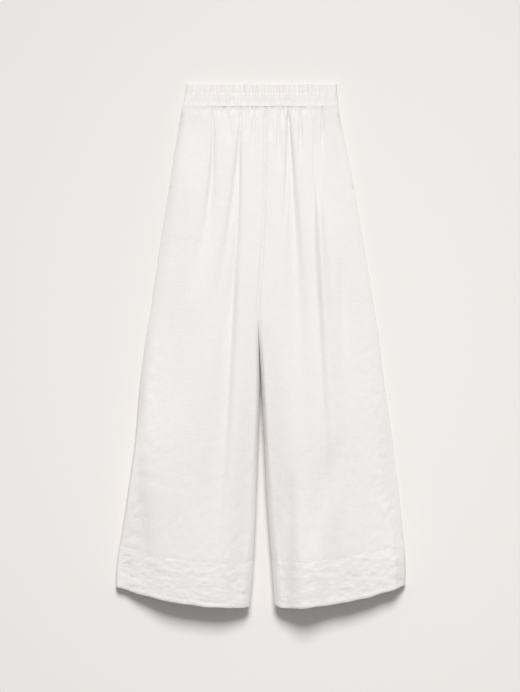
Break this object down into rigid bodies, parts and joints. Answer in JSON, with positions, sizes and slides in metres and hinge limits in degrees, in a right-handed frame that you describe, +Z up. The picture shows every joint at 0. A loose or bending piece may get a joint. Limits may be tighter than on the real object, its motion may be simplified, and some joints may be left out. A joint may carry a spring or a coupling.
{
  "type": "wide-leg trousers",
  "caption": "Pull-on wide-leg linen trousers laid out flat, with a frilled elastic waist, in-seam pockets and deep hem bands.",
  "frame": {"origin": "on the surface that the trousers lie on, under the middle of their outline", "axes": "+Y from the hems to the waist, +Z up, out of the front of the trousers, +X to the right as seen from above (the wearer's left leg)"},
  "size_m": [0.5698, 1.026, 0.0449],
  "materials": {
    "linen": "matt off-white plain-weave linen",
    "elastic": "white woven elastic"
  },
  "bodies": {
    "root": {"front_leg_left": "linen", "front_leg_right": "linen", "back_leg_left": "linen", "back_leg_right": "linen", "hem_front_left": "linen", "hem_front_right": "linen", "hem_back_left": "linen", "hem_back_right": "linen", "waistband_front": "linen", "waistband_back": "linen", "pocket_bag_left": "linen", "pocket_bag_right": "linen", "waist_elastic": "elastic"}
  },
  "joints": []
}
